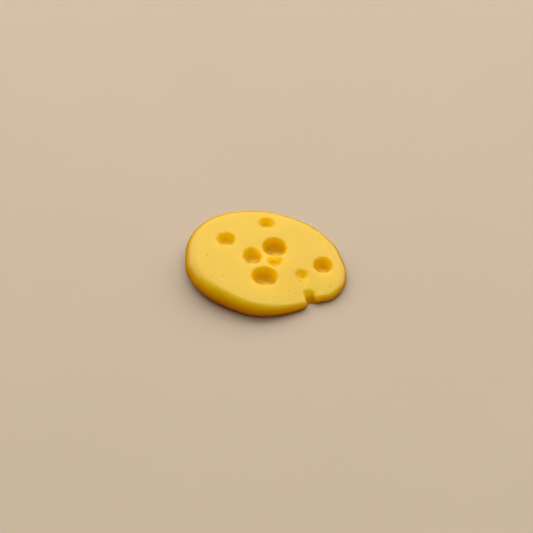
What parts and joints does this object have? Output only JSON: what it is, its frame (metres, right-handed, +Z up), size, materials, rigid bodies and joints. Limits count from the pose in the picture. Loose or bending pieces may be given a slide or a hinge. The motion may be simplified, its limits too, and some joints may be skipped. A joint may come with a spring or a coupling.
{
  "type": "miniature cheese slice",
  "caption": "Small oval slice of holed yellow cheese in soft matt clay: round dents pressed into its top and one round bite through its rounded edge.",
  "frame": {"origin": "middle of the base, on the surface that the slice lies on", "axes": "+Z up out of the dented top; +X along the longer side of the oval, towards the end with the bite; +Y across it"},
  "size_m": [0.0186, 0.0157, 0.0027],
  "materials": {
    "yellow_clay": "soft matt modelling clay, slightly waxy, with fine grain and tiny pin pits"
  },
  "bodies": {
    "root": {"cheese_slice": "yellow_clay"}
  },
  "joints": []
}
